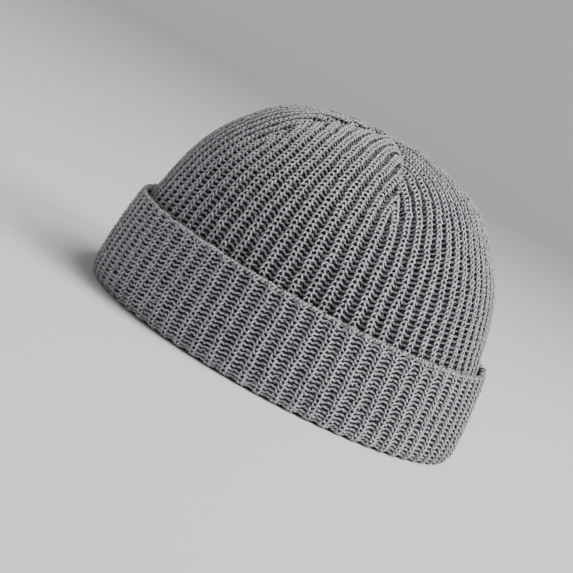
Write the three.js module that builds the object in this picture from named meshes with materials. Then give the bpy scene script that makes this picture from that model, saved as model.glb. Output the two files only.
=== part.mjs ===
import * as THREE from 'three';

// Fisherman beanie: a ribbed knit cap of one cloth with a turned-up cuff and six crown seams.
// It stands on the fold of its cuff, open side down. Millimetres, +Z up, and the origin is the
// middle of the ring that the cap rests on. Two of the crown seams lie over the X axis.

// Sizes of the cap, mm
const HEAD_RADIUS = 91.8; // inside of the opening, just above the fold
const CUFF_HEIGHT = 47; // floor to the top edge of the turned-up cuff
const CROWN_RISE = 78; // top edge of the cuff to the top of the crown
const CROWN_DRAW_IN = 4.6; // how much narrower the cap is at the cuff's top edge than at its fold
const CROWN_WALL = 3.3; // knit of the crown, from its inside to the top of a rib
const CUFF_WALL = 4.5; // knit of the cuff, from its inside to the top of a rib
const LAYER_GAP = 0.3; // clearance between the crown and the cuff laid over it

// Fold and edges of the cuff, mm
const FOLD_HEIGHT = 4.6; // floor to the crown's lower rim, seated in the fold
const REST_WIDTH = 3; // flat of the fold where the cap rests
const FOLD_TURN_HEIGHT = 7; // floor to where the outside of the fold has turned upright

// Ribs
const GORES = 6; // parts of the crown between its seams
const RIBS_PER_GORE = 12;
const CROWN_RIB_DEPTH = 1.7; // mm
const CUFF_RIB_DEPTH = 2; // mm
const TIGHT_RIB_DEPTH = 0.34; // rib depth over rib pitch where the ribs crowd together

// Crown seams: darts that take the ribs away, one after another, up to the top
const DART_REACH = 59; // mm, from the middle of the crown to the lower end of a dart
const CREASE_DEPTH = 4; // mm, how deep the cloth turns in at a seam
const CREASE_WIDTH = 8; // mm, from a seam to where the cloth lies level again
const CREASE_RUN = 16; // mm, along a dart from its lower end to its full depth
const SEAM_RIDGE = 1.2; // mm, sewn edges standing proud inside, along a seam

// Rows of faces
const BODY_ROWS = 10; // crown, rim to the lower end of the darts
const CUFF_ROWS = 4; // each side of the cuff, fold to top edge
const FOLD_STEPS = 2; // each side of the fold
const EDGE_STEPS = 4; // over the cuff's top edge
const SEARCH_STEPS = 30; // halvings in the search for a height or radius along an outline

// Outline of the crown above the cuff: rise as a share of CROWN_RISE,
// reach as a share of the crown's radius at the cuff's top edge.
const CROWN_OUTLINE = [
  { rise: 0.0, reach: 1.0 },
  { rise: 0.1, reach: 0.98 },
  { rise: 0.2, reach: 0.96 },
  { rise: 0.4, reach: 0.906 },
  { rise: 0.59, reach: 0.815 },
  { rise: 0.79, reach: 0.665 },
  { rise: 0.895, reach: 0.525 },
  { rise: 0.955, reach: 0.37 },
  { rise: 0.99, reach: 0.17 },
  { rise: 1.0, reach: 0.0 },
];

// Swell of the cap behind the cuff: share of the way up from the rim to the cuff's top edge,
// and the part of CROWN_DRAW_IN that it has drawn in there.
const BAND_OUTLINE = [
  { up: 0.0, drawn: 0.0 },
  { up: 0.35, drawn: 0.18 },
  { up: 0.7, drawn: 0.56 },
];

const KNIT_COLOR = 0x7b7a7f; // grey melange yarn
const KNIT_ROUGHNESS = 0.95;

const rimRadius = HEAD_RADIUS + CROWN_WALL;
const edgeRadius = rimRadius - CROWN_DRAW_IN;
const goreRibs = 2 * Math.max(1, Math.round(RIBS_PER_GORE / 2)); // even: both halves of a gore alike
const goreAngle = (2 * Math.PI) / GORES;

// One curve along the crests of the crown's ribs, from the lower rim to the top, as (radius, height).
function crownOutline() {
  const bandHeight = CUFF_HEIGHT - FOLD_HEIGHT;
  const band = BAND_OUTLINE.map(
    (row) => new THREE.Vector2(rimRadius - row.drawn * CROWN_DRAW_IN, FOLD_HEIGHT + row.up * bandHeight),
  );
  const dome = CROWN_OUTLINE.map(
    (row) => new THREE.Vector2(row.reach * edgeRadius, CUFF_HEIGHT + row.rise * CROWN_RISE),
  );
  return new THREE.SplineCurve([...band, ...dome]);
}

// Share of the outline's length at which a test of its point first holds.
function shareWhere(outline, test) {
  let low = 0;
  let high = 1;
  for (let step = 0; step < SEARCH_STEPS; step += 1) {
    const middle = (low + high) / 2;
    if (test(outline.getPointAt(middle))) {
      high = middle;
    } else {
      low = middle;
    }
  }
  return high;
}

// Point of an outline and the direction out of the cloth there.
function station(outline, share) {
  const point = outline.getPointAt(share);
  const along = outline.getTangentAt(share);
  const out = new THREE.Vector2(along.y, -along.x);
  if (share === 0) {
    out.set(1, 0);
  } else if (share === 1) {
    out.set(0, 1);
  }
  return { point, out };
}

// Vertices and triangles of one closed skin, gathered ring by ring. A ring counts its vertices
// in half ribs from the middle of each gore, so that ring joins ring along the ribs.
class Skin {
  constructor() {
    this.points = [];
    this.faces = [];
  }

  // A ring of GORES arcs of so many ribs each. step is the half ribs from one vertex to the next,
  // and place(number, angle) gives radius and height from the half rib number and the angle,
  // both counted from the middle of the gore.
  ring(ribs, step, place) {
    const count = (2 * ribs) / step;
    const total = Math.max(GORES * count, 1);
    const first = this.points.length / 3;
    for (let index = 0; index < total; index += 1) {
      const gore = ribs > 0 ? Math.floor(index / count) : 0;
      const number = ribs > 0 ? (index % count) * step - ribs : 0;
      const share = ribs > 0 ? number / (2 * ribs) : 0;
      const angle = (gore + 0.5 + share) * goreAngle;
      const spot = place(number, share * goreAngle);
      this.points.push(spot.x * Math.cos(angle), spot.x * Math.sin(angle), spot.y);
    }
    return { ribs, step, count, first, total };
  }

  // Index of a ring's vertex, by gore and place in it; a gore's last one is the next gore's first.
  vertex(ring, gore, place) {
    return ring.first + ((gore * ring.count + place) % ring.total);
  }

  // Faces between two rings, each next triangle on the ring that lags behind in half ribs.
  // The lower ring first gives faces that look away from the axis.
  join(lower, upper) {
    for (let gore = 0; gore < GORES; gore += 1) {
      let low = 0;
      let high = 0;
      while (low < lower.count || high < upper.count) {
        const nextLow = low < lower.count ? (low + 1) * lower.step - lower.ribs : Infinity;
        const nextHigh = high < upper.count ? (high + 1) * upper.step - upper.ribs : Infinity;
        const start = this.vertex(lower, gore, low);
        const above = this.vertex(upper, gore, high);
        if (nextLow <= nextHigh) {
          this.faces.push(start, this.vertex(lower, gore, low + 1), above);
          low += 1;
        } else {
          this.faces.push(start, this.vertex(upper, gore, high + 1), above);
          high += 1;
        }
      }
    }
  }

  // Joins each ring of a list to the next one.
  joinAll(rings) {
    for (let index = 1; index < rings.length; index += 1) {
      this.join(rings[index - 1], rings[index]);
    }
  }

  geometry() {
    const geometry = new THREE.BufferGeometry();
    geometry.setAttribute('position', new THREE.Float32BufferAttribute(this.points, 3));
    geometry.setIndex(this.faces);
    geometry.computeVertexNormals();
    return geometry;
  }
}

// Rib relief: crests on odd half ribs, valleys on even ones, and shallower where ribs crowd.
function valleyDepth(number, deepest, radius, ribs) {
  const pitch = (goreAngle * radius) / Math.max(ribs, 1);
  return Math.abs(number) % 2 === 1 ? 0 : Math.min(deepest, TIGHT_RIB_DEPTH * pitch);
}

// How far the cloth turns in beside a seam: deepest on the seam, then up a round shoulder.
function creaseDepth(radius, angle, strength) {
  const away = radius * (goreAngle / 2 - Math.abs(angle));
  const share = Math.min(away / CREASE_WIDTH, 1);
  return strength * CREASE_DEPTH * (1 - Math.sin((Math.PI / 2) * share));
}

// Rows of the crown, from the rim to the top: share of the outline, ribs left in a gore and
// strength of the crease. In the darts each row has half a rib less on both sides of a seam.
function crownRows(outline) {
  const inDarts = (point) => point.y > CUFF_HEIGHT && point.x < DART_REACH;
  const dartShare = shareWhere(outline, inDarts);
  const dartLength = (1 - dartShare) * outline.getLength();
  const rows = [];
  for (let row = 0; row < BODY_ROWS; row += 1) {
    rows.push({ share: (dartShare * row) / BODY_ROWS, ribs: goreRibs, crease: 0 });
  }
  for (let ribs = goreRibs; ribs >= 0; ribs -= 1) {
    const left = ribs / goreRibs;
    const crease = Math.min(1, ((1 - left) * dartLength) / CREASE_RUN);
    rows.push({ share: 1 - (1 - dartShare) * left, ribs, crease });
  }
  return rows;
}

function crownGeometry() {
  const outline = crownOutline();
  const rows = crownRows(outline);
  const skin = new Skin();
  const outer = [];
  const inner = [];
  rows.forEach((row, index) => {
    const { point, out } = station(outline, row.share);
    const sunk = (depth) => point.clone().addScaledVector(out, -depth);
    outer.push(skin.ring(row.ribs, 1, (number, angle) => {
      const valley = valleyDepth(number, CROWN_RIB_DEPTH, point.x, row.ribs);
      return sunk(valley + creaseDepth(point.x, angle, row.crease));
    }));
    if (index % 2 === 0) {
      inner.push(skin.ring(row.ribs, 2, (number, angle) => {
        const crease = creaseDepth(point.x, angle, row.crease);
        return sunk(CROWN_WALL + crease * (1 + SEAM_RIDGE / CREASE_DEPTH));
      }));
    }
  });
  skin.joinAll(outer);
  skin.joinAll([...inner].reverse());
  skin.join(inner[0], outer[0]);
  return skin.geometry();
}

// Section of the cuff, anticlockwise from the inner end of the fold: under the fold, up the
// outside, over the top edge and down the inside to the seat of the crown's rim. Each point has
// its radius, its height, the share of the rib depth cut at a valley and the half ribs per vertex.
function cuffSection() {
  const outline = crownOutline();
  const crestAt = (height) => outline.getPointAt(shareWhere(outline, (point) => point.y > height)).x;
  const innerAt = (height) => crestAt(Math.max(height, FOLD_HEIGHT)) + LAYER_GAP;
  const outerAt = (height) => innerAt(height) + CUFF_WALL;
  const seatHeight = FOLD_HEIGHT - LAYER_GAP;
  const foldOuter = outerAt(FOLD_TURN_HEIGHT);
  const restMiddle = (HEAD_RADIUS + foldOuter) / 2;
  const foldSide = (foldOuter - HEAD_RADIUS - REST_WIDTH) / 2;
  const section = [];
  const add = (radius, height, cut, step) => section.push({ radius, height, cut, step });
  for (let index = 0; index <= FOLD_STEPS; index += 1) {
    const turn = (Math.PI / 2) * (index / FOLD_STEPS);
    add(restMiddle - REST_WIDTH / 2 - foldSide * Math.cos(turn), seatHeight * (1 - Math.sin(turn)), 0, 2);
  }
  for (let index = 0; index <= FOLD_STEPS; index += 1) {
    const turn = (Math.PI / 2) * (index / FOLD_STEPS);
    const height = FOLD_TURN_HEIGHT * (1 - Math.cos(turn));
    add(restMiddle + REST_WIDTH / 2 + foldSide * Math.sin(turn), height, index / FOLD_STEPS, 1);
  }
  const edgeRound = CUFF_WALL / 2;
  const sideHigh = CUFF_HEIGHT - edgeRound;
  for (let row = 1; row <= CUFF_ROWS; row += 1) {
    const height = FOLD_TURN_HEIGHT + ((sideHigh - FOLD_TURN_HEIGHT) * row) / CUFF_ROWS;
    add(outerAt(height), height, 1, 1);
  }
  for (let index = 1; index < EDGE_STEPS; index += 1) {
    const turn = Math.PI * (index / EDGE_STEPS);
    const radius = innerAt(sideHigh) + edgeRound * (1 + Math.cos(turn));
    add(radius, sideHigh + edgeRound * Math.sin(turn), 0, index === 1 ? 1 : 2);
  }
  for (let row = CUFF_ROWS; row >= 0; row -= 1) {
    const height = seatHeight + ((sideHigh - seatHeight) * row) / CUFF_ROWS;
    add(innerAt(height), height, 0, 2);
  }
  return section;
}

function cuffGeometry() {
  const skin = new Skin();
  const rings = cuffSection().map(({ radius, height, cut, step }) =>
    skin.ring(goreRibs, step, (number) => {
      const valley = cut * valleyDepth(number, CUFF_RIB_DEPTH, radius, goreRibs);
      return new THREE.Vector2(radius - valley, height);
    }),
  );
  skin.joinAll([...rings, rings[0]]);
  return skin.geometry();
}

function piece(name, geometry) {
  const look = { color: KNIT_COLOR, roughness: KNIT_ROUGHNESS, metalness: 0, flatShading: true };
  const material = new THREE.MeshStandardMaterial(look);
  const mesh = new THREE.Mesh(geometry, material);
  mesh.name = name;
  return mesh;
}

const beanie = new THREE.Group();
beanie.add(piece('crown', crownGeometry()));
beanie.add(piece('cuff', cuffGeometry()));

export default beanie;
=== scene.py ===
"""Fisherman beanie in chunky grey rib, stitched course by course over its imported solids.

The cap stands on the fold of its cuff, open side down, with six crown seams. Every length is in
metres, and the origin is the middle of the ring that the cap rests on, with +Z up.
"""
import math

import bpy
import numpy as np
from mathutils import Matrix, Vector


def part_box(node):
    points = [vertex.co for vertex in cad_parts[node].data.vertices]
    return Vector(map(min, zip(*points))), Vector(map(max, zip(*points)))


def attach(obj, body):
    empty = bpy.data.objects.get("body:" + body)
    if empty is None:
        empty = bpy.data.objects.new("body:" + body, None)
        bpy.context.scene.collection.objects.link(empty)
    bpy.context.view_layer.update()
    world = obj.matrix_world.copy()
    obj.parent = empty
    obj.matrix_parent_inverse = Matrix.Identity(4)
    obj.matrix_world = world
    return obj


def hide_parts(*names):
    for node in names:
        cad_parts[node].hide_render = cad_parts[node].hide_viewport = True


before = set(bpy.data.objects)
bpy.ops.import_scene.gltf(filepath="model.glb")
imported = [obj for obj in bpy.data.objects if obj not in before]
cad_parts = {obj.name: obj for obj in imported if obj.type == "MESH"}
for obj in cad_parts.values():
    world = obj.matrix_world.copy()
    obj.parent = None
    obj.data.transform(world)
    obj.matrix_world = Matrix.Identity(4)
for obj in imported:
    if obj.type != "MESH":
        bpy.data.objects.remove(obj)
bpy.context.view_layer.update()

bl_info = {
    "name": "Fisherman beanie",
    "version": (1, 0, 0),
    "blender": (4, 5, 0),
    "location": "View3D > Sidebar > Beanie",
    "description": "Knits a ribbed cap with a turned-up cuff around its packed solids",
    "category": "Object",
}

CUFF_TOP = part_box("cuff")[1].z
CROWN_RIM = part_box("crown")[0].z

MM = 0.001
TAU = 2 * math.pi

# Outline of the crown above the cuff: rise as a share of the crown's rise, reach as a share of
# its radius at the cuff's top edge.
CROWN_OUTLINE = (
    # rise, reach
    (0.0, 1.0),
    (0.1, 0.98),
    (0.2, 0.96),
    (0.4, 0.906),
    (0.59, 0.815),
    (0.79, 0.665),
    (0.895, 0.525),
    (0.955, 0.37),
    (0.99, 0.17),
    (1.0, 0.0),
)

# The cap behind its cuff: share of the way up to the cuff's top edge, and share of the draw-in.
BAND_OUTLINE = (
    # up, drawn
    (0.0, 0.0),
    (0.35, 0.18),
    (0.7, 0.56),
)

# One loop of yarn. wale is in half widths of a wale from its middle. front_up and back_up are in
# courses, for the loops of a front and of a back wale. out is 1 at the face that the loop's wale
# shows on and 0 in the middle of the cloth. thick is the yarn's thickness there.
LOOP = (
    # wale, front_up, back_up, out, thick
    (-0.80, 0.15, -0.12, 0.00, 1.00),
    (-0.28, 0.25, 0.12, 1.00, 0.80),
    (-1.06, 0.78, 0.74, 0.80, 0.76),
    (-0.66, 1.20, 1.06, 0.30, 0.80),
    (0.66, 1.20, 1.32, 0.30, 0.80),
    (1.14, 0.78, 0.92, 0.84, 0.82),
    (0.34, 0.25, 0.40, 1.05, 0.84),
    (0.80, 0.15, 0.24, 0.00, 1.00),
)

# steps of each span of the crown's outline and of the cuff's, and of a quarter turn of its fold
OUTLINE_STEPS = 40
FOLD_STEPS = 12

# the yarn's tube has four sides, and its corners stand a little further out than half its thickness
SIDES = 4
CORNERS = (np.arange(SIDES) + 0.5) * TAU / SIDES
TUBE_CORNER = 0.53

# uneven draws for each rib of a course, and by what share of them the loops stray in depth and the
# yarn's thickness changes
STRAYS_PER_RIB = 3
THICKNESSES_PER_RIB = 2
DEPTH_STRAY = 0.5
THICKNESS_STRAY = 0.07
# painted shade: the yarn's colour is darkened within this share of the cloth's thickness from
# its middle
PAINTED_SHADE_REACH = 0.3

# a rib's sideways waves: share and length. Each rib has its own start of them.
SWAY_WAVES = (
    # share, length
    (0.6, 31 * MM),
    (0.4, 13 * MM),
)
SWAY_STARTS = 512

# in courses: the rim to the first course, how near to the top the yarn comes, and the cuff's last
# course to its free edge
RIM_COURSES = 0.7
TOP_COURSES = 0.1
EDGE_COURSES = 1.6
# at least this many points of a course are left in a gore at the top
LEAST_POINTS = 4
# the ribs start to run into a seam over this share of the dart, before and after its end
DART_ROUNDING = 0.4
# share of a gore's ribs that are lost while its middle leans over
LEAN_SHARE = 0.6
# a seam's lip reaches over this many lip widths
LIP_SPAN = 3
# the crown's valleys are deeper by this share of what a rib is narrower than at the stretched rim
STRETCHED_PITCH = 8.2 * MM
VALLEY_GROWTH = 0.35

# the strands of a seam: reach to either side of it, half thickness in yarns, and the painted
# light share of their colour, a painted shade
SEAM_REACH = 0.9 * MM
SEAM_RADIUS = 0.42
SEAM_PAINTED_LIGHT = 0.7

# the dark sheet in the cloth, a painted shadow in the gaps between the loops: points for each
# rib, rows of the crown's and of the cuff's
CORE_POINTS = 6
CORE_THICKNESS = 0.3 * MM
CROWN_CORE_ROWS = 26
CUFF_CORE_ROWS = 18

# the free edge: turns of its strand for each rib and points for each turn
EDGE_TURNS = 4
EDGE_POINTS = 8
# how far a turn strays: up and down, along the edge in ribs, and in thickness as a share
EDGE_DRIFT = 0.3 * MM
EDGE_STRAY = 0.06
EDGE_UNEVENNESS = 0.12
# in yarns: how far a turn keeps in from the crests, half its height, how far its middle stands under
# the cuff's top, and the half thickness of the strand and of the heart that it winds over
EDGE_INSET = 0.45
EDGE_RISE = 0.55
EDGE_DROP = 0.95
EDGE_RADIUS = 0.42
HEART_RADIUS = 0.6
# the painted light share of both, a painted shade that darkens their colour
EDGE_PAINTED_LIGHT = 0.9
HEART_PAINTED_LIGHT = 0.3

# pieces of the crown's knit, with the first course of each and the one after its last, so that no
# piece has too many faces for its file
CROWN_PIECES = (
    # name, first, after
    ("crown_knit_band", 0, 16),
    ("crown_knit_low", 16, 30),
    ("crown_knit_high", 30, 42),
    ("crown_knit_top", 42, None),
)
# courses of the crown that the cuff hides, where no hairs are needed, how far hairs lean away from
# straight out, and the shortest as a share of the longest
HIDDEN_COURSES = 14
HAIR_SPREAD = 0.8
SHORTEST_HAIR = 0.4

# patterns: one turn of the yarn's plies, clumps of its fibres, slow changes of tone along the
# cloth, single fibres, which are coarser than real so that they show, and tufts in the gaps
PLY_LENGTH = 2.6 * MM
CLUMP_SIZE = 1.0 * MM
TONE_SIZE = 9 * MM
HAIR_SIZE = 0.25 * MM
TUFT_SIZE = 0.8 * MM
# heights of the plies and of the tufts in the surface pattern, and the share by which the
# yarn's colour is darkened on its flanks, a painted shade
PLY_HEIGHT = 0.14 * MM
TUFT_HEIGHT = 0.3 * MM
FLANK_PAINTED_SHADE = 0.4

# the studio: rings of the flat floor, the bend up into the wall and the lamps, aimed at the cap
FLOOR_RINGS = (0.002, 0.5, 1.2)
FLOOR_COLUMNS = 96
BEND_RADIUS = 0.8
BEND_STEPS = 14
WALL_TOP = 2.6
SOFTBOXES = (
    # name, place, width, watts
    ("key_softbox", (0.8, 0.1, 1.8), 0.9, 36.5),
    ("side_softbox", (1.65, -0.1, 1.2), 0.9, 30),
    ("front_softbox", (0.4, -2.1, 0.9), 1.0, 3),
)
SOFTBOX_AIM = (0, 0, 0.05)
AIR_LIGHT = 0.25

# the picture's side in pixels, and the camera's sensor in millimetres
PICTURE = 573
SENSOR = 36


def real(name, description, default, **settings):
    """A number that a user can change."""
    return bpy.props.FloatProperty(
        name=name, description=description, default=default, **settings)


def metres(name, description, default):
    """A length that a user can change."""
    return real(name, description, default, unit="LENGTH")


def hex_color(name, description, default):
    """A colour that a user can change, as an sRGB hex value."""
    return bpy.props.StringProperty(name=name, description=description, default=default)


class BeanieSizes(bpy.types.PropertyGroup):
    """Sizes of the cap. Its outline has the sizes of its solids, and its seams are softer."""

    cuff_height: metres("Cuff height", "Floor to the top edge of the turned-up cuff", CUFF_TOP)
    fold_height: metres(
        "Fold height", "Floor to the crown's lower rim, seated in the fold", CROWN_RIM)
    crown_rise: metres("Crown rise", "Top edge of the cuff to the top of the crown", 78 * MM)
    rim_radius: metres("Rim radius", "Outside of the crown where it meets the fold", 95.1 * MM)
    crown_draw_in: metres(
        "Crown draw-in", "How much narrower the cap is at the cuff's top edge", 4.6 * MM)
    crown_wall: metres("Crown wall", "Thickness of the crown's cloth", 3.3 * MM)
    cuff_wall: metres("Cuff wall", "Thickness of the cuff's cloth", 4.5 * MM)
    layer_gap: metres("Layer gap", "Clearance between crown and cuff", 0.3 * MM)
    rest_width: metres("Rest width", "Flat of the fold where the cap rests", 3 * MM)
    fold_turn: metres("Fold turn", "Floor to where the outside of the fold is upright", 7 * MM)
    gores: bpy.props.IntProperty(
        name="Gores", description="Parts of the crown between its seams", default=6, min=2)
    gore_ribs: bpy.props.IntProperty(
        name="Ribs in a gore", description="Ribs between two seams below the darts",
        default=12, min=2)
    dart_reach: metres("Dart reach", "Middle of the crown to the lower end of a dart", 59 * MM)
    dart_lean: real(
        "Dart lean", "Ribs by which a gore's middle moves as its darts begin", 0.6)
    crease_depth: metres("Crease depth", "How deep the cloth turns in at a seam", 1.5 * MM)
    crease_width: metres("Crease width", "From a seam to level cloth on its low side", 8 * MM)
    lip_width: metres("Lip width", "From a seam to level cloth on its high side", 5 * MM)
    lip_rise: metres(
        "Lip rise", "How far the cloth stands up beside a seam's high side", 0.9 * MM)
    crease_run: metres("Crease run", "Along a dart from its lower end to its full depth", 24 * MM)


class BeanieKnit(bpy.types.PropertyGroup):
    """Gauge of the knit and sizes of its yarn."""

    crown_course: metres("Crown course", "Height of one row of stitches on the crown", 2.53 * MM)
    cuff_course: metres(
        "Cuff course", "The same on the cuff, where the ribs are stretched", 2.17 * MM)
    yarn: metres("Yarn", "Thickness of the yarn in the cloth", 1.24 * MM)
    half_wale: metres(
        "Half wale", "Half the width of a front wale, between yarn middles", 1.28 * MM)
    relief: metres("Relief", "Front of a loop to its back, yarn middle to middle", 1.0 * MM)
    crown_valley: metres(
        "Crown valley", "How far the crown's back wales stand behind the front", 0.9 * MM)
    cuff_valley: metres(
        "Cuff valley", "How far the cuff's back wales stand behind the front", 0.1 * MM)
    # painted shade: how far the yarn's colour is darkened towards the middle of the cloth
    crown_painted_shade: real(
        "Crown shade", "Light kept from the crown's valleys by hairs over them", 0.62)
    cuff_painted_shade: real(
        "Cuff shade", "Light kept from the cuff's stretched and open valleys", 0.22)
    unevenness: metres("Unevenness", "How far a stitch strays from its even place", 0.2 * MM)
    waver: metres("Waver", "How far a rib sways sideways along its length", 0.3 * MM)
    hair_length: metres("Hair length", "Longest fibre that stands off the yarn", 2.4 * MM)
    hair_width: metres(
        "Hair width", "Half a fibre's width, coarser than real so it shows", 0.035 * MM)
    crown_hairs: bpy.props.IntProperty(
        name="Crown hairs", description="Fibres that stand off the crown", default=6500, min=1)
    cuff_hairs: bpy.props.IntProperty(
        name="Cuff hairs", description="Fibres that stand off the cuff", default=3500, min=1)
    seed: bpy.props.IntProperty(name="Seed", description="Start of the random draws", default=7)


class BeanieColors(bpy.types.PropertyGroup):
    """Colours of the yarn, of the painted shadow in the cloth's gaps, and of the stage."""

    yarn_light: hex_color("Light fibres", "Light fibres of the grey yarn", "#e6e6ec")
    yarn_dark: hex_color("Dark fibres", "Dark fibres of the grey yarn", "#717075")
    # painted shadow: the colours of the dark sheet in the cloth's gaps, paler in random tufts
    core_shadow_light: hex_color(
        "Core tufts", "Matted fibres that cross the gaps near their top", "#6a696e")
    core_shadow_dark: hex_color("Core", "Matted fibres deep between the loops", "#242327")
    floor: hex_color("Floor", "Pale studio floor", "#dcdcdd")


class BeanieStage(bpy.types.PropertyGroup):
    """Camera and floor."""

    camera_distance: metres("Camera distance", "From the cap's axis, level", 1.0)
    camera_height: metres("Camera height", "Above the floor", 0.1697)
    camera_turn: real(
        "Camera turn", "Round the cap from its front", math.radians(17), subtype="ANGLE")
    camera_roll: real(
        "Camera roll", "Tilt of the cap in the picture, clockwise", math.radians(28.94),
        subtype="ANGLE")
    lens: real("Lens", "Focal length on a 36 mm sensor, in millimetres", 129.85)
    picture_x: real(
        "Cap across", "Pixel column of the middle of the cuff's top edge, of 573", 316.54)
    picture_y: real(
        "Cap down", "Pixel row of the middle of the cuff's top edge, of 573", 277.84)
    bowl_radius: metres("Backdrop", "Radius of the flat floor", 2.2)


def linear(hex_value):
    """The linear RGBA of an sRGB hex value: c / 12.92 up to 0.04045, above it
    ((c + 0.055) / 1.055) to the power 2.4, for each channel c from 0 to 1."""
    channels = [int(hex_value[i:i + 2], 16) / 255 for i in (1, 3, 5)]
    curved = [c / 12.92 if c <= 0.04045 else ((c + 0.055) / 1.055) ** 2.4 for c in channels]
    return (*curved, 1.0)


def spline(rows, steps):
    """Points of the Catmull-Rom curve through rows: on each span, the cubic that starts and ends
    on its two rows with half the step between their neighbours as slope."""
    rows = np.asarray(rows, float)
    index = np.repeat(np.arange(len(rows) - 1), steps)
    share = np.tile(np.arange(steps) / steps, len(rows) - 1)[:, None]
    before = rows[np.maximum(index - 1, 0)]
    start = rows[index]
    end = rows[index + 1]
    after = rows[np.minimum(index + 2, len(rows) - 1)]
    slope_start = (end - before) / 2
    slope_end = (after - start) / 2
    points = (
        (2 * start - 2 * end + slope_start + slope_end) * share ** 3
        + (3 * end - 3 * start - 2 * slope_start - slope_end) * share ** 2
        + slope_start * share
        + start
    )
    return np.vstack([points, rows[-1]])


class Outline:
    """A curve of radius and height, read by the length along it, with the direction out of the
    cloth at right angles to it."""

    def __init__(self, points):
        self.points = np.asarray(points, float)
        steps = np.diff(self.points, axis=0)
        self.along = np.concatenate([[0.0], np.cumsum(np.hypot(steps[:, 0], steps[:, 1]))])
        self.length = self.along[-1]
        slope = np.gradient(self.points, self.along, axis=0)
        slope /= np.linalg.norm(slope, axis=1)[:, None]
        self.out = np.stack([slope[:, 1], -slope[:, 0]], axis=1)

    def at(self, length):
        """Radius and height, and the radial and upward parts of the outward direction."""
        values = (self.points[:, 0], self.points[:, 1], self.out[:, 0], self.out[:, 1])
        return [np.interp(length, self.along, value) for value in values]

    def length_at_height(self, height):
        """Length along the curve up to a height, for a curve that rises all the way."""
        return np.interp(height, self.points[:, 1], self.along)


def crown_outline(sizes):
    """The crests of the crown's ribs, from its rim in the fold up to the top."""
    band_height = sizes.cuff_height - sizes.fold_height
    edge_radius = sizes.rim_radius - sizes.crown_draw_in
    band = [
        (sizes.rim_radius - drawn * sizes.crown_draw_in, sizes.fold_height + up * band_height)
        for up, drawn in BAND_OUTLINE
    ]
    dome = [
        (reach * edge_radius, sizes.cuff_height + rise * sizes.crown_rise)
        for rise, reach in CROWN_OUTLINE
    ]
    return Outline(spline(band + dome, OUTLINE_STEPS))


def dart_length(sizes, outline):
    """Length along the cloth from the lower end of a dart to the top of the crown."""
    above = outline.points[:, 1] > sizes.cuff_height
    end = np.interp(-sizes.dart_reach, -outline.points[above, 0], outline.along[above])
    return outline.length - end


def cuff_outline(sizes):
    """The crests of the cuff's ribs, from the inner end of the fold, under it and up the outside
    to the top edge: a quarter ellipse, the flat that it rests on, a quarter ellipse, and then the
    crown's own outline set out by the gap and the cuff's wall."""
    crown = crown_outline(sizes)
    step_out = sizes.layer_gap + sizes.cuff_wall
    turn = np.linspace(0, math.pi / 2, FOLD_STEPS)
    inner = sizes.rim_radius - sizes.crown_wall
    outer = crown.at(crown.length_at_height(sizes.fold_turn))[0] + step_out
    middle = (inner + outer) / 2
    side = (outer - inner - sizes.rest_width) / 2
    inside = np.stack([
        middle - sizes.rest_width / 2 - side * np.cos(turn),
        sizes.fold_height * (1 - np.sin(turn)),
    ], axis=1)
    outside = np.stack([
        middle + sizes.rest_width / 2 + side * np.sin(turn),
        sizes.fold_turn * (1 - np.cos(turn)),
    ], axis=1)
    height = np.linspace(sizes.fold_turn, sizes.cuff_height, OUTLINE_STEPS)[1:]
    upright = np.stack([crown.at(crown.length_at_height(height))[0] + step_out, height], axis=1)
    return Outline(np.vstack([inside, outside, upright]))


def new_mesh_object(name, vertices, faces, layers=None):
    """A mesh object at the origin from an array of places, an array of faces that have the same
    number of corners and, where a pattern follows the surface, arrays of UV pairs for those."""
    mesh = bpy.data.meshes.new(name)
    count, corners = faces.shape
    mesh.vertices.add(len(vertices))
    mesh.vertices.foreach_set("co", np.ravel(vertices).astype(np.float32))
    mesh.loops.add(corners * count)
    mesh.loops.foreach_set("vertex_index", np.ravel(faces).astype(np.int32))
    mesh.polygons.add(count)
    mesh.polygons.foreach_set("loop_start", np.arange(0, corners * count, corners, dtype=np.int32))
    mesh.polygons.foreach_set("use_smooth", np.ones(count, bool))
    for layer_name, pairs in (layers or {}).items():
        layer = mesh.uv_layers.new(name=layer_name)
        layer.data.foreach_set("uv", np.ravel(pairs).astype(np.float32))
    mesh.update(calc_edges=True)
    mesh.validate()
    piece = bpy.data.objects.new(name, mesh)
    bpy.context.scene.collection.objects.link(piece)
    return piece


def unit(vectors):
    """Vectors divided by their length, which is taken as a little over nothing at the least."""
    return vectors / (np.linalg.norm(vectors, axis=1)[:, None] + 1e-9)


def around(radius, turn, height):
    """Places at a distance from the upright axis, a turn round it and a height."""
    parts = np.broadcast_arrays(radius * np.cos(turn), radius * np.sin(turn), height)
    return np.stack(parts, axis=-1)


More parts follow.
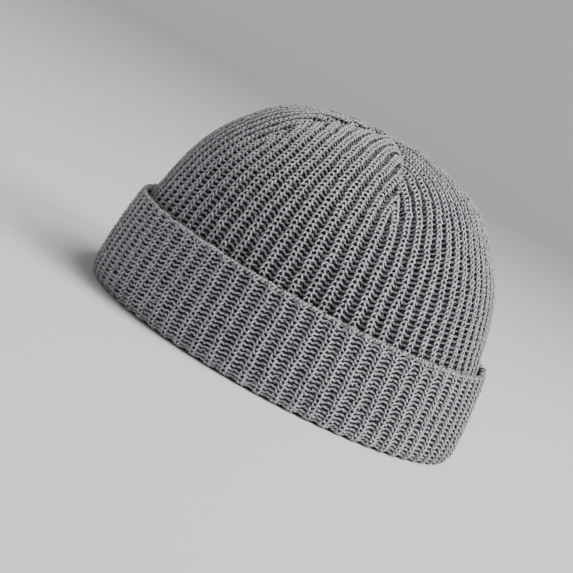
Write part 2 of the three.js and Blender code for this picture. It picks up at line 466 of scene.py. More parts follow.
def closed_tube(path, out, radius, openness):
    """A closed ring of yarn along a path: at each point, SIDES places at the radius from it, at
    even angles between the direction out of the cloth and the direction across both. Gives the
    places, the faces, UV pairs that run along the yarn in metres and once round it, and UV pairs
    that hold the painted light share, from 0 in painted shade to 1, by which the yarn's colour is
    darkened. The radius and the painted light share are one value each, or one for each point."""
    along = unit(np.roll(path, -1, axis=0) - np.roll(path, 1, axis=0))
    outward = unit(out - np.sum(out * along, axis=1)[:, None] * along)
    across = np.cross(along, outward)
    ring = (
        outward[:, None, :] * np.cos(CORNERS)[None, :, None]
        + across[:, None, :] * np.sin(CORNERS)[None, :, None]
    )
    places = (path[:, None, :] + np.reshape(radius, (-1, 1, 1)) * ring).reshape(-1, 3)
    count = len(path)
    steps = np.linalg.norm(np.roll(path, -1, axis=0) - path, axis=1)
    gone = np.concatenate([[0.0], np.cumsum(steps)])
    openness = np.broadcast_to(openness, count)
    # each face's corners, as steps along the yarn and round it
    ahead, round_it = np.array([(0, 0), (0, 1), (1, 1), (1, 0)]).T
    here = np.repeat(np.arange(count), SIDES)[:, None] + ahead
    side = np.tile(np.arange(SIDES), count)[:, None] + round_it
    faces = here % count * SIDES + side % SIDES
    run = np.stack([gone[here], side / SIDES], axis=2)
    light = openness[here % count]
    return places, faces, run, np.stack([light, np.zeros_like(light)], axis=2)


def join_parts(parts):
    """One array each of places, faces and UV pairs from a list of tubes."""
    starts = np.cumsum([0] + [len(part[0]) for part in parts[:-1]])
    faces = np.vstack([part[1] + start for part, start in zip(parts, starts)])
    return [np.vstack([part[0] for part in parts]), faces] + [
        np.vstack([part[column] for part in parts]) for column in (2, 3)]


def hairs(random, places, count, length, width):
    """Fibres that stand off the yarn: thin closed spikes of four triangles, each on a random corner
    of a tube. A hair's direction is that from the tube's middle to the corner, of length one, plus
    the spread times a normal draw. Its length is a random share of the given one. A tip that would
    be under the floor is bent up as far above it, and a base is raised to the floor."""
    root = random.integers(0, len(places), count)
    middle = places.reshape(-1, SIDES, 3).mean(axis=1)[root // SIDES]
    lean = unit(places[root] - middle)
    lean = unit(lean + HAIR_SPREAD * random.normal(size=(count, 3)))
    # the lean with its parts changed round, and a little more, is never in line with the lean
    across = unit(np.cross(lean, np.roll(lean, 1, axis=1) + [0.1, 0.2, 0.3]))
    beside = np.cross(lean, across)
    tip = places[root] + lean * length * random.uniform(SHORTEST_HAIR, 1, size=(count, 1))
    tip[:, 2] = np.abs(tip[:, 2])
    turns = np.arange(3) * TAU / 3
    base = [middle + width * (across * np.cos(turn) + beside * np.sin(turn)) for turn in turns]
    spikes = np.stack(base + [tip], axis=1).reshape(-1, 3)
    spikes[:, 2] = np.maximum(spikes[:, 2], 0)
    sides = np.array([[0, 2, 1], [0, 1, 3], [1, 2, 3], [2, 0, 3]])
    faces = (4 * np.arange(count)[:, None, None] + sides).reshape(-1, 3)
    return spikes, faces


def strays(random, draws, count):
    """Uneven offsets along a course: normal random draws at even places, straight between."""
    values = random.normal(size=draws)
    where = np.arange(count) * draws / count
    return np.interp(where, np.arange(draws + 1), np.append(values, values[0]))


def yarn_course(knit, course, valley, painted_shade, point, pitch, sway, random, ribs):
    """One course of loops, front and back wales in turn. point counts the rows of LOOP along the
    course, from the middle of a valley, and the first loop is half of a back one. Gives the place
    across in ribs, up along the rib and out from the crests in metres, with small uneven offsets,
    then the yarn's radius and its painted light share. The sway is how far each rib stands to one
    side. The depth is half the yarn and the relief, less the loop's out times the relief in a front
    wale, or more by it and the valley in a back one. The painted light share is 1 at both faces of
    the cloth and falls towards its middle, a painted shade that darkens the yarn's colour there by
    up to the share painted_shade."""
    rows = len(LOOP)
    shifted = point - rows // 2
    loop = np.floor_divide(shifted, rows)
    wale, front_up, back_up, out, thick = np.asarray(LOOP)[np.mod(shifted, rows)].T
    front = np.mod(loop, 2) == 0
    up = np.where(front, front_up, back_up)
    count = len(point)
    across = loop / 2 + 0.5 + (wale * knit.half_wale + sway) / pitch
    draws = STRAYS_PER_RIB * ribs
    across = across + knit.unevenness * strays(random, draws, count) / pitch
    up = up * course + knit.unevenness * strays(random, draws, count)
    middle = knit.yarn / 2 + knit.relief
    depth = np.where(front, middle - out * knit.relief, middle + valley + out * knit.relief)
    # painted shade: the yarn's colour is darker towards the middle of the cloth
    light = np.clip(abs(0.5 - depth / (2 * middle + valley)) / PAINTED_SHADE_REACH, 0, 1)
    depth = depth + DEPTH_STRAY * knit.unevenness * strays(random, draws, count)
    uneven = strays(random, THICKNESSES_PER_RIB * ribs, count)
    radius = TUBE_CORNER * knit.yarn * thick * (1 + THICKNESS_STRAY * uneven)
    return across, up, -depth, radius, 1 - painted_shade * (1 - light)


def rib_sway(knit, rib, along):
    """How far ribs stand to one side at a length along the cloth: the sum of two sine waves, whose
    starts are random draws for each rib."""
    random = np.random.default_rng(knit.seed + 5)
    starts = random.uniform(0, TAU, size=(len(SWAY_WAVES), SWAY_STARTS))
    index = np.mod(rib.astype(int), SWAY_STARTS)
    return knit.waver * sum(
        share * np.sin(TAU * along / length + start[index])
        for (share, length), start in zip(SWAY_WAVES, starts)
    )


def ribs_left(from_top, dart):
    """Share of a gore's ribs that are left at a distance from the top: the distance over the
    dart's length t, and 1 below the dart, with the parabola t - (t - 1 + r)^2 / 4r between them
    over the rounding r on either side of the dart's end."""
    share = from_top / dart
    begin = 1 - DART_ROUNDING
    rounded = share - (share - begin) ** 2 / (4 * DART_ROUNDING)
    return np.where(share < begin, share, np.where(share > 1 + DART_ROUNDING, 1, rounded))


def middle_rib(sizes, left):
    """The rib number at the middle of a gore. It moves from 0 to the lean while the dart takes its
    first ribs, because more of those end at the gore's left seam than at its right: the lean times
    3s^2 - 2s^3, where s goes from 0 to 1 as the lean share of the ribs is lost."""
    lost = np.clip((1 - left) / LEAN_SHARE, 0, 1)
    return sizes.dart_lean * lost ** 2 * (3 - 2 * lost)


def crown_valley(knit, pitch):
    """How far the back wales stand behind the front ones: more where the ribs are less stretched,
    by a share of what their pitch is under that of the stretched rim."""
    return knit.crown_valley + VALLEY_GROWTH * max(0.0, STRETCHED_PITCH - pitch)


def off_top(from_top, dart, angle):
    """Distance from the top of a course at an angle from its gore's middle. Far down it is the same
    all round. Near the top the course is straight, at right angles to the gore's middle, so the
    distance grows with one over the cosine of the angle. The share of this is 3s^2 - 2s^3, where s
    goes from 0 to 1 between 1.5 and 0.5 darts from the top."""
    straight = np.clip(1.5 - from_top / dart, 0, 1)
    straight = straight ** 2 * (3 - 2 * straight)
    return from_top * (1 + straight * (1 / np.cos(angle) - 1))


def crown_courses(sizes, knit):
    """The rings of yarn of the crown, from its rim in the fold to the top. A course has the points
    of the ribs that are left in each gore, counted from the gore's middle and spread evenly over
    its angle."""
    outline = crown_outline(sizes)
    dart = dart_length(sizes, outline)
    half_angle = TAU / sizes.gores / 2
    random = np.random.default_rng(knit.seed)
    parts = []
    for row in range(int(outline.length / knit.crown_course - TOP_COURSES)):
        from_top = outline.length - (row + RIM_COURSES) * knit.crown_course
        left = float(ribs_left(from_top, dart))
        half = sizes.gore_ribs / 2 * left
        middle = middle_rib(sizes, left)
        begin = round((middle - half) * 2 * len(LOOP))
        end = max(begin + LEAST_POINTS, round((middle + half) * 2 * len(LOOP)))
        point = np.tile(np.arange(begin, end), sizes.gores)
        gore = np.repeat(np.arange(sizes.gores), end - begin)
        radius = outline.at(outline.length - from_top)[0]
        pitch = half_angle * radius / half
        rib = gore * sizes.gore_ribs + np.floor_divide(point, 2 * len(LOOP)) + sizes.gore_ribs
        ribs = max(1, round(2 * half * sizes.gores))
        valley = crown_valley(knit, pitch)
        number, up, out, thick, light = yarn_course(
            knit, knit.crown_course, valley, knit.crown_painted_shade, point, pitch,
            rib_sway(knit, rib, from_top), random, ribs)
        angle = half_angle * np.clip((number - middle) / half, -1, 1)
        away = off_top(from_top, dart, angle) + up
        away = np.maximum(away, TOP_COURSES * knit.crown_course)
        place, direction = on_crown(sizes, outline, dart, gore, angle, away, out)
        parts.append(closed_tube(place, direction, thick, light))
    return parts


def crown_seams(sizes, knit):
    """The strands that close the darts: one ring for each seam, which goes down the outside and
    back up the inside of the cloth in a zigzag over the seam, one turn for each course."""
    outline = crown_outline(sizes)
    dart = dart_length(sizes, outline)
    half_angle = TAU / sizes.gores / 2
    step = 0.5 * knit.crown_course
    down = np.arange(step, dart / math.cos(half_angle), step)
    away = np.concatenate([down, down[::-1]])
    side = np.where(np.arange(len(away)) % 2, 1, -1)
    radius = outline.at(outline.length - away)[0]
    valley = crown_valley(knit, TAU * dart / sizes.gores / sizes.gore_ribs)
    # one yarn under the crests outside, and about level with the back loops inside
    inside = 0.4 * knit.yarn + 2 * knit.relief + valley
    out = np.repeat([-knit.yarn, -inside], len(down))
    angle = side * (half_angle - SEAM_REACH / np.maximum(radius, 2 * SEAM_REACH))
    parts = []
    for seam in range(sizes.gores):
        gore = (seam + np.where(side > 0, 0, 1)) % sizes.gores
        place, direction = on_crown(sizes, outline, dart, gore, angle, away, out)
        parts.append(closed_tube(place, direction, SEAM_RADIUS * knit.yarn, SEAM_PAINTED_LIGHT))
    return parts


def core_depth(knit, valley, number):
    """How deep the sheet of painted shadow lies under the crests, by the rib number, which is whole
    in the middle of a valley: the depth of the cloth's middle, plus half the relief and half the
    valley times a wave. The wave is 0.5 plus 1.6 times the cosine of the number's turn, cut to -1
    to 1, so the sheet is flat near the back in a valley and flat near the front under a front wale."""
    middle = knit.yarn / 2 + knit.relief + valley / 2
    wave = np.clip(0.5 + 1.6 * np.cos(TAU * number), -1, 1)
    return middle + (0.5 * knit.relief + valley / 2) * wave


def closed_sheet(grids, capped):
    """A thin closed skin from two grids of places, whose rows run up or outwards and whose columns
    run round. The first rows are joined. The last rows are joined too, or each closed by a fan to
    its middle where the sheet is capped."""
    front, back = np.array(grids)
    rows, total = front.shape[:2]
    here = np.arange(total)
    ahead = (here + 1) % total
    low = np.arange(rows - 1)[:, None] * total
    grid = np.stack([low + here, low + ahead, low + total + ahead, low + total + here], axis=2)
    grid = grid.reshape(-1, 4)
    behind = rows * total
    last = (rows - 1) * total
    edge = np.stack([here, behind + here, behind + ahead, ahead], axis=1)
    faces = [grid, grid[:, ::-1] + behind, edge]
    places = [front.reshape(-1, 3), back.reshape(-1, 3)]
    if capped:
        even = here[::2]
        tips = np.full(len(even), 2 * behind)
        fan = np.stack([even, even + 1, (even + 2) % total], axis=1) + last
        faces += [np.column_stack([fan, tips]), np.column_stack([tips + 1, fan[:, ::-1] + behind])]
        places += [front[-1].mean(axis=0)[None], back[-1].mean(axis=0)[None]]
    else:
        faces.append(np.roll(edge[:, ::-1], 1, axis=1) + last)
    return np.vstack(places), np.vstack(faces)


def crown_shadow_core(sizes, knit):
    """The dark middle of the crown's cloth, a painted shadow in the gaps between the loops: one
    closed thin sheet that follows the ribs.
    """
    outline = crown_outline(sizes)
    dart = dart_length(sizes, outline)
    half_angle = TAU / sizes.gores / 2
    across = CORE_POINTS * sizes.gore_ribs
    angle = np.tile((np.arange(across) / across - 0.5) * 2 * half_angle, sizes.gores)
    gore = np.repeat(np.arange(sizes.gores), across)
    grids = ([], [])
    rim = outline.length - knit.crown_course
    top = 2 * TOP_COURSES * knit.crown_course
    for from_top in np.linspace(rim, top, CROWN_CORE_ROWS):
        left = ribs_left(from_top, dart)
        number = middle_rib(sizes, left) + angle / half_angle * sizes.gore_ribs / 2 * left
        radius = outline.at(outline.length - from_top)[0]
        pitch = float(2 * half_angle * radius / (sizes.gore_ribs * left))
        depth = core_depth(knit, crown_valley(knit, pitch), number)
        away = off_top(from_top, dart, angle)
        for side, grid in zip((-0.5, 0.5), grids):
            out = -depth - side * CORE_THICKNESS
            grid.append(on_crown(sizes, outline, dart, gore, angle, away, out)[0])
    return closed_sheet(grids, True)


def cuff_shadow_core(sizes, knit):
    """The dark middle of the cuff's cloth, a painted shadow in the gaps between the loops, round
    the fold and up to the free edge.
    """
    outline = cuff_outline(sizes)
    ribs = sizes.gores * sizes.gore_ribs
    number = np.arange(CORE_POINTS * ribs) / CORE_POINTS
    depth = core_depth(knit, knit.cuff_valley, number)
    grids = ([], [])
    first, last = knit.cuff_course, outline.length - knit.cuff_course
    for along in np.linspace(first, last, CUFF_CORE_ROWS):
        for side, grid in zip((-0.5, 0.5), grids):
            out = -depth - side * CORE_THICKNESS
            grid.append(on_cuff(outline, number * TAU / ribs, along, out)[0])
    return closed_sheet(grids, False)


def on_crown(sizes, outline, dart, gore, angle, from_top, out):
    """Places on the crown from the angle to the middle of a gore, the distance from the top along
    the cloth and the distance out from the crests. Beside a seam the cloth turns in by the crease
    depth times one minus the sine of a quarter turn's share of the crease width. On the seam's
    high side the width is narrower, and a lip rises there by half a sine wave."""
    gore_angle = TAU / sizes.gores
    radius, height, out_radial, out_up = outline.at(outline.length - from_top)
    beside = radius * np.maximum(gore_angle / 2 - np.abs(angle), 0)
    high_side = angle > 0
    width = np.where(high_side, sizes.lip_width, sizes.crease_width)
    share = np.minimum(beside / width, 1)
    strength = np.clip((dart - from_top) / sizes.crease_run, 0, 1)
    turned_in = sizes.crease_depth * (1 - np.sin(math.pi / 2 * share))
    slope = sizes.crease_depth / width * math.pi / 2 * np.cos(math.pi / 2 * share)
    span = LIP_SPAN * sizes.lip_width
    lip = np.clip(beside / span, 0, 1) * math.pi
    turned_in = strength * (turned_in - np.where(high_side, sizes.lip_rise * np.sin(lip), 0))
    lip_slope = sizes.lip_rise * math.pi / span * np.cos(lip) * (lip < math.pi)
    slope = strength * (slope + np.where(high_side, lip_slope, 0))
    lean = np.sign(angle) * np.sin(np.arctan(slope))
    level = np.cos(np.arctan(slope))
    turn = (gore + 0.5) * gore_angle + angle
    direction = around(level * out_radial, turn, level * out_up)
    direction[:, 0] -= lean * np.sin(turn)
    direction[:, 1] += lean * np.cos(turn)
    crest = around(radius - turned_in * out_radial, turn, height - turned_in * out_up)
    return crest + np.reshape(out, (-1, 1)) * direction, direction


def on_cuff(outline, turn, along, out):
    """Places on the cuff from the angle round the cap, the length along the cuff's outline and the
    distance out from the crests, with the direction out of the cloth."""
    radius, height, out_radial, out_up = outline.at(np.clip(along, 0, outline.length))
    place = around(radius + out * out_radial, turn, height + out * out_up)
    return place, around(out_radial, turn, out_up)


def cuff_courses(sizes, knit):
    """The rings of yarn of the cuff, from under its top edge down the outside and round the fold.
    The cloth is turned up, so its stitches stand the other way up than on the crown."""
    outline = cuff_outline(sizes)
    ribs = sizes.gores * sizes.gore_ribs
    random = np.random.default_rng(knit.seed + 1)
    point = np.arange(2 * len(LOOP) * ribs)
    rib = np.floor_divide(point, 2 * len(LOOP))
    first = outline.length - EDGE_COURSES * knit.cuff_course
    parts = []
    for row in range(int(first / knit.cuff_course)):
        along = first - row * knit.cuff_course
        pitch = TAU * outline.at(along)[0] / ribs
        number, up, out, thick, light = yarn_course(
            knit, knit.cuff_course, knit.cuff_valley, knit.cuff_painted_shade, point, pitch,
            rib_sway(knit, rib, along), random, ribs)
        place, direction = on_cuff(outline, number * TAU / ribs, along + up, out)
        parts.append(closed_tube(place, direction, thick, light))
    return parts


def top_edge(sizes, knit):
    """The cuff's free edge: a strand that winds round it over a second one, its heart. A turn is an
    ellipse by the cosine and sine of the wind, from the outside of the cloth to its inside, and
    the turns stand a little unevenly, as in a cast-on edge."""
    outline = cuff_outline(sizes)
    ribs = sizes.gores * sizes.gore_ribs
    random = np.random.default_rng(knit.seed + 2)
    count = EDGE_POINTS * EDGE_TURNS * ribs
    phase = np.arange(count) * ribs / count
    wind = EDGE_TURNS * TAU * phase
    middle = knit.yarn / 2 + knit.relief + knit.cuff_valley / 2
    drift = EDGE_DRIFT * strays(random, STRAYS_PER_RIB * ribs, count)
    out = -middle + (middle - EDGE_INSET * knit.yarn) * np.cos(wind) + drift / 2
    turn = (phase + EDGE_STRAY * strays(random, EDGE_TURNS * ribs, count)) * TAU / ribs
    place = on_cuff(outline, turn, outline.length, out)[0]
    low = EDGE_DROP * knit.yarn
    place[:, 2] += drift + EDGE_RISE * knit.yarn * np.sin(wind) - low
    heart, heart_out = on_cuff(outline, turn, outline.length, -middle)
    heart[:, 2] -= low
    direction = place - heart
    uneven = EDGE_UNEVENNESS * strays(random, STRAYS_PER_RIB * ribs, count)
    thick = EDGE_RADIUS * knit.yarn * (1 + uneven)
    heart, heart_out = heart[::EDGE_POINTS], heart_out[::EDGE_POINTS]
    return [
        closed_tube(place, direction, thick, EDGE_PAINTED_LIGHT),
        closed_tube(heart, heart_out, HEART_RADIUS * knit.yarn, HEART_PAINTED_LIGHT),
    ]


def add_node(tree, kind, settings):
    """Adds a shader node and gives its outputs. A setting is a property or an input of the node:
    another node's output is linked into it, and any other value is set."""
    node = tree.nodes.new(kind)
    for name, value in settings.items():
        if isinstance(name, str) and hasattr(node, name):
            setattr(node, name, value)
        elif isinstance(value, bpy.types.NodeSocket):
            tree.links.new(value, node.inputs[name])
        else:
            node.inputs[name].default_value = value
    return node.outputs


def new_material(name):
    """A material and its node tree, which is empty."""
    material = bpy.data.materials.new(name)
    material.use_nodes = True
    material.node_tree.nodes.clear()
    return material, material.node_tree


def plied_yarn(light, dark):
    """Wool and acrylic yarn, carded from light and dark fibres, spun and plied: matt, with a soft
    halo of light at grazing angles, a speckled grey and slanting grooves between its plies. Its
    colour has painted shade: darker where it lies deep between other yarns, and on its flanks."""
    material, tree = new_material("Plied melange yarn")
    place = add_node(tree, "ShaderNodeTexCoord", {})["Object"]
    run = add_node(tree, "ShaderNodeUVMap", {"uv_map": "yarn"})["UV"]
    run = add_node(tree, "ShaderNodeSeparateXYZ", {0: run})
    # painted shade: the share of the yarn's colour kept where it lies deep in the cloth
    openness = add_node(tree, "ShaderNodeUVMap", {"uv_map": "openness"})["UV"]
    openness = add_node(tree, "ShaderNodeSeparateXYZ", {0: openness})["X"]
    # a sine wave along the yarn, which goes once round it in each turn of a ply
    turn = add_node(tree, "ShaderNodeMath", {
        "operation": "MULTIPLY", 0: run["Y"], 1: TAU})[0]
    ply = add_node(tree, "ShaderNodeMath", {
        "operation": "MULTIPLY_ADD", 0: run["X"], 1: TAU / PLY_LENGTH, 2: turn})[0]
    ply = add_node(tree, "ShaderNodeMath", {"operation": "SINE", 0: ply})[0]
    # painted shade mask: 1 on the yarn's sides that face out of the cloth and into the cap, 0 on
    # its flanks, which are painted darker: the square of the cosine of the turn from the outward
    # side, which is half a side before the first corner
    facing = add_node(tree, "ShaderNodeMath", {
        "operation": "SUBTRACT", 0: turn, 1: (1 - 0.5 / SIDES) * TAU})[0]
    facing = add_node(tree, "ShaderNodeMath", {"operation": "COSINE", 0: facing})[0]
    facing = add_node(tree, "ShaderNodeMath", {
        "operation": "MULTIPLY", 0: facing, 1: facing})[0]
    clumps, slow, fine = [
        add_node(tree, "ShaderNodeTexNoise", {
            "Scale": 1 / size, "Detail": detail, "Vector": place})["Fac"]
        for size, detail in ((CLUMP_SIZE, 3.0), (TONE_SIZE, 1.0), (HAIR_SIZE, 1.0))
    ]
    # most of a noise lies near its middle, so that part is spread over all tones
    clumps = add_node(tree, "ShaderNodeMapRange", {
        "From Min": 0.36, "From Max": 0.64, "Value": clumps})["Result"]
    tone = 0.0
    for share, pattern in ((0.3, slow), (0.5, clumps), (0.3, fine), (0.2, ply)):
        tone = add_node(tree, "ShaderNodeMath", {
            "operation": "MULTIPLY_ADD", 0: pattern, 1: share, 2: tone})[0]
    color = add_node(tree, "ShaderNodeMix", {
        "data_type": "RGBA", 0: tone, 6: linear(dark), 7: linear(light)})[2]
    # painted shade: the colour darkened on the yarn's flanks and where it lies deep in the cloth
    shade = add_node(tree, "ShaderNodeMath", {
        "operation": "MULTIPLY_ADD", 0: facing, 1: FLANK_PAINTED_SHADE, 2: 1 - FLANK_PAINTED_SHADE})[0]
    shade = add_node(tree, "ShaderNodeMath", {
        "operation": "MULTIPLY", 0: shade, 1: openness})[0]
    shaded = add_node(tree, "ShaderNodeVectorMath", {
        "operation": "SCALE", 0: color, "Scale": shade})[0]
    height = add_node(tree, "ShaderNodeMath", {
        "operation": "MULTIPLY_ADD", 0: fine, 1: 1.5, 2: ply})[0]
    relief = add_node(tree, "ShaderNodeBump", {
        "Strength": 0.8, "Distance": PLY_HEIGHT, "Height": height})["Normal"]
    shader = add_node(tree, "ShaderNodeBsdfPrincipled", {
        "Base Color": shaded, "Roughness": 0.85, "IOR": 1.5, "Specular IOR Level": 0.3,
        "Sheen Weight": 0.5, "Sheen Roughness": 0.5, "Normal": relief})
    add_node(tree, "ShaderNodeOutputMaterial", {"Surface": shader["BSDF"]})
    return material


def painted_gap_shadow(light, dark):
    """Painted shadow of the gaps inside the cloth, on a sheet that stands for the loose hairs of
    the yarn that cross them: matt and dark, as little light gets between the loops, with paler
    tufts, so that the gaps are not one even tone."""
    material, tree = new_material("Painted gap shadow")
    place = add_node(tree, "ShaderNodeTexCoord", {})["Object"]
    tufts = add_node(tree, "ShaderNodeTexNoise", {
        "Scale": 1 / TUFT_SIZE, "Detail": 2.0, "Vector": place})["Fac"]
    share = add_node(tree, "ShaderNodeMapRange", {
        "From Min": 0.48, "From Max": 0.74, "Value": tufts})["Result"]
    color = add_node(tree, "ShaderNodeMix", {
        "data_type": "RGBA", 0: share, 6: linear(dark), 7: linear(light)})[2]
    relief = add_node(tree, "ShaderNodeBump", {
        "Strength": 1.0, "Distance": TUFT_HEIGHT, "Height": tufts})["Normal"]
    shader = add_node(tree, "ShaderNodeBsdfPrincipled", {
        "Base Color": color, "Roughness": 1.0, "Specular IOR Level": 0.0, "Normal": relief})
    add_node(tree, "ShaderNodeOutputMaterial", {"Surface": shader["BSDF"]})
    return material


def plain_material(name, color, roughness, specular):
    """A material of one even tone."""
    material, tree = new_material(name)
    shader = add_node(tree, "ShaderNodeBsdfPrincipled", {
        "Base Color": linear(color), "Roughness": roughness, "Specular IOR Level": specular})
    add_node(tree, "ShaderNodeOutputMaterial", {"Surface": shader["BSDF"]})
    return material


def dress(piece, material, node):
    """Gives a piece its material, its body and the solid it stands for."""
    piece.data.materials.append(material)
    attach(piece, "root")
    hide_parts(node)
    return piece


def yarn_piece(scene, name, parts, node):
    """One object of closed rings of yarn, dressed for the solid that it stands for. All of them
    share one yarn material."""
    places, faces, run, openness = join_parts(parts)
    piece = new_mesh_object(name, places, faces, {"yarn": run, "openness": openness})
    colors = scene.beanie_colors
    yarn = bpy.data.materials.get("Plied melange yarn")
    return dress(piece, yarn or plied_yarn(colors.yarn_light, colors.yarn_dark), node)


class BEANIE_OT_crown_knit(bpy.types.Operator):
    """Knits the crown, from its rim in the fold to the top"""
    bl_idname = "beanie.crown_knit"
    bl_label = "Crown knit"

    def execute(self, context):
        scene = context.scene
        parts = crown_courses(scene.beanie_sizes, scene.beanie_knit)
        for name, first, after in CROWN_PIECES:
            yarn_piece(scene, name, parts[first:after], "crown")
        seams = crown_seams(scene.beanie_sizes, scene.beanie_knit)
        yarn_piece(scene, "crown_seams", seams, "crown")
        return {"FINISHED"}


class BEANIE_OT_cuff_knit(bpy.types.Operator):
    """Knits the turned-up cuff and its fold"""
    bl_idname = "beanie.cuff_knit"
    bl_label = "Cuff knit"

    def execute(self, context):
        scene = context.scene
        parts = cuff_courses(scene.beanie_sizes, scene.beanie_knit)
        half = len(parts) // 2
        yarn_piece(scene, "cuff_knit_high", parts[:half], "cuff")
        yarn_piece(scene, "cuff_knit_low", parts[half:], "cuff")
        return {"FINISHED"}


class BEANIE_OT_top_edge(bpy.types.Operator):
    """Winds the two strands of the cuff's free edge"""
    bl_idname = "beanie.top_edge"
    bl_label = "Cuff edge"

    def execute(self, context):
        scene = context.scene
        yarn_piece(scene, "cuff_edge", top_edge(scene.beanie_sizes, scene.beanie_knit), "cuff")
        return {"FINISHED"}


class BEANIE_OT_hairs(bpy.types.Operator):
    """Adds the fibres that stand off the yarn of the crown and the cuff"""
    bl_idname = "beanie.hairs"
    bl_label = "Hairs"

    def execute(self, context):
        scene = context.scene
        sizes, knit = scene.beanie_sizes, scene.beanie_knit
        # pale and matt, so that the cap's edges look soft
        color = scene.beanie_colors.yarn_light
        material = plain_material("Loose wool fibres", color, 0.8, 0.3)
        random = np.random.default_rng(knit.seed + 3)
        shown = crown_courses(sizes, knit)[HIDDEN_COURSES:]
        for name, node, parts, count in (
            ("crown_hairs", "crown", shown, knit.crown_hairs),
            ("cuff_hairs", "cuff", cuff_courses(sizes, knit), knit.cuff_hairs),
        ):
            places = np.vstack([part[0] for part in parts])
            spikes = hairs(random, places, count, knit.hair_length, knit.hair_width)
            dress(new_mesh_object(name, *spikes), material, node)
        return {"FINISHED"}


class BEANIE_OT_cloth_core(bpy.types.Operator):
    """Adds a painted shadow sheet in the middle of the cloth, between its two faces of loops"""
    bl_idname = "beanie.cloth_core"
    bl_label = "Cloth core"

    def execute(self, context):
        scene = context.scene
        colors = scene.beanie_colors
        # painted shadow: the dark sheets in the gaps of the crown's and the cuff's cloth
        material = painted_gap_shadow(colors.core_shadow_light, colors.core_shadow_dark)
        for name, node, sheet in (
            ("crown_shadow_core", "crown", crown_shadow_core(scene.beanie_sizes, scene.beanie_knit)),
            ("cuff_shadow_core", "cuff", cuff_shadow_core(scene.beanie_sizes, scene.beanie_knit)),
        ):
            dress(new_mesh_object(name, *sheet), material, node)
        return {"FINISHED"}


def studio_bowl(stage):
    """Places and faces of the floor: rings round the upright axis, level out to the bowl's radius,
    up a quarter circle and up a wall, with a fan of faces that closes the middle."""
    bend = np.linspace(0, math.pi / 2, BEND_STEPS)
    reach = np.concatenate([FLOOR_RINGS, stage.bowl_radius + BEND_RADIUS * np.sin(bend)])
    level = np.concatenate([np.zeros(len(FLOOR_RINGS)), BEND_RADIUS * (1 - np.cos(bend))])
    reach = np.append(reach, reach[-1])
    level = np.append(level, WALL_TOP)
    turn = np.arange(FLOOR_COLUMNS) * TAU / FLOOR_COLUMNS
    places = around(reach[:, None], turn, level[:, None]).reshape(-1, 3)
    here = np.arange(FLOOR_COLUMNS)
    ahead = (here + 1) % FLOOR_COLUMNS
    even = here[::2]
    middle = np.full(len(even), len(places))
    fan = np.stack([middle, even, even + 1, (even + 2) % FLOOR_COLUMNS], axis=1)
    low = np.arange(len(level) - 1)[:, None] * FLOOR_COLUMNS
    high = low + FLOOR_COLUMNS
    bowl = np.stack([high + here, high + ahead, low + ahead, low + here], axis=2).reshape(-1, 4)
    return np.vstack([places, [[0.0, 0.0, 0.0]]]), np.vstack([fan, bowl])


class BEANIE_OT_stage(bpy.types.Operator):
    """Sets the pale floor that curves up into a backdrop all round, the lights and the camera"""
    bl_idname = "beanie.stage"
    bl_label = "Stage"

    def execute(self, context):
        scene = context.scene
        stage = scene.beanie_stage
        floor = new_mesh_object("studio_floor", *studio_bowl(stage))
        # matt seamless background paper
        color = scene.beanie_colors.floor
        floor.data.materials.append(plain_material("Studio paper", color, 0.95, 0.1))
        scene.world = bpy.data.worlds.new("Studio air")
        scene.world.use_nodes = True
        air = scene.world.node_tree.nodes["Background"]
        air.inputs["Color"].default_value = (1, 1, 1, 1)
        air.inputs["Strength"].default_value = AIR_LIGHT
        for name, place, width, watts in SOFTBOXES:
            light = bpy.data.lights.new(name, "AREA")
            light.size = width
            light.energy = watts
            lamp = bpy.data.objects.new(name, light)
            lamp.location = place
            aim = Vector(SOFTBOX_AIM) - Vector(place)
            lamp.rotation_euler = aim.to_track_quat("-Z", "Y").to_euler()
            lamp.visible_camera = False
            scene.collection.objects.link(lamp)
        camera = bpy.data.cameras.new("studio_camera")
        camera.sensor_width = SENSOR
        camera.lens = stage.lens
        camera.clip_start = 0.01
        eye = bpy.data.objects.new("studio_camera", camera)
        eye.matrix_world = camera_matrix(stage, scene.beanie_sizes.cuff_height)
        scene.collection.objects.link(eye)
        scene.camera = eye
        return {"FINISHED"}


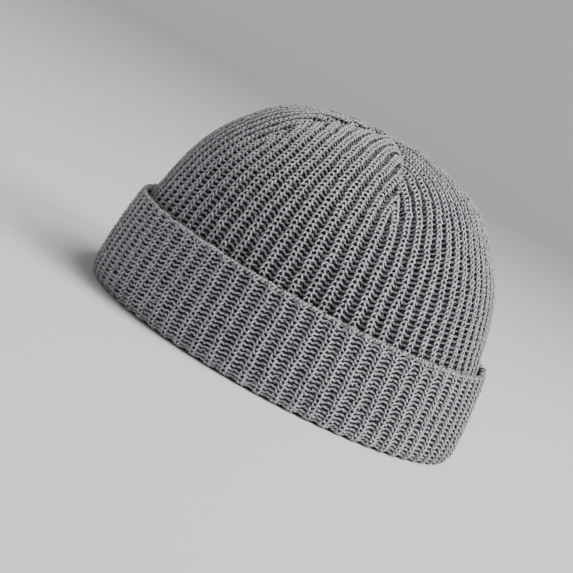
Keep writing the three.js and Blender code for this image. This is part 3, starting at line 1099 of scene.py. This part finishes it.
def camera_matrix(stage, aim_height):
    """The camera's place and axes: it stands at its distance, turn and height, looks at the middle
    of the cuff's top edge, rolls, and then tilts so that this point falls on its pixel."""
    eye = np.array([
        stage.camera_distance * math.sin(stage.camera_turn),
        -stage.camera_distance * math.cos(stage.camera_turn),
        stage.camera_height,
    ])
    ahead = np.array([0, 0, aim_height]) - eye
    ahead /= np.linalg.norm(ahead)
    right = np.cross(ahead, (0, 0, 1))
    right /= np.linalg.norm(right)
    axes = np.stack([right, np.cross(right, ahead), ahead])
    cos, sin = math.cos(stage.camera_roll), math.sin(stage.camera_roll)
    roll = np.array([[cos, sin, 0], [-sin, cos, 0], [0, 0, 1]])
    pixels = stage.lens / SENSOR * PICTURE
    across = stage.picture_x - PICTURE / 2
    up = PICTURE / 2 - stage.picture_y
    spot = np.array([across / pixels, up / pixels, 1.0])
    spot /= np.linalg.norm(spot)
    swing = np.array([[0, 0, spot[0]], [0, 0, spot[1]], [-spot[0], -spot[1], 0]])
    tilt = np.eye(3) + swing + swing @ swing / (1 + spot[2])
    x_axis, y_axis, z_axis = tilt @ roll @ axes
    matrix = np.eye(4)
    matrix[:3] = np.stack([x_axis, y_axis, -z_axis, eye], axis=1)
    return Matrix(matrix.tolist())


class BEANIE_PT_panel(bpy.types.Panel):
    """Makes the beanie's pieces one by one"""
    bl_label = "Fisherman beanie"
    bl_space_type = "VIEW_3D"
    bl_region_type = "UI"
    bl_category = "Beanie"

    def draw(self, context):
        for operator in OPERATORS:
            self.layout.operator(operator.bl_idname)


OPERATORS = (
    BEANIE_OT_crown_knit,
    BEANIE_OT_cuff_knit,
    BEANIE_OT_top_edge,
    BEANIE_OT_cloth_core,
    BEANIE_OT_hairs,
    BEANIE_OT_stage,
)
SETTINGS = {
    "beanie_sizes": BeanieSizes,
    "beanie_knit": BeanieKnit,
    "beanie_colors": BeanieColors,
    "beanie_stage": BeanieStage,
}
CLASSES = (*SETTINGS.values(), *OPERATORS, BEANIE_PT_panel)


def register():
    for item in CLASSES:
        bpy.utils.register_class(item)
    for name, group in SETTINGS.items():
        setattr(bpy.types.Scene, name, bpy.props.PointerProperty(type=group))


def unregister():
    for name in SETTINGS:
        delattr(bpy.types.Scene, name)
    for item in reversed(CLASSES):
        bpy.utils.unregister_class(item)


def main():
    register()
    for operator in OPERATORS:
        group, call = operator.bl_idname.split(".")
        getattr(getattr(bpy.ops, group), call)()


if __name__ == "__main__":
    main()
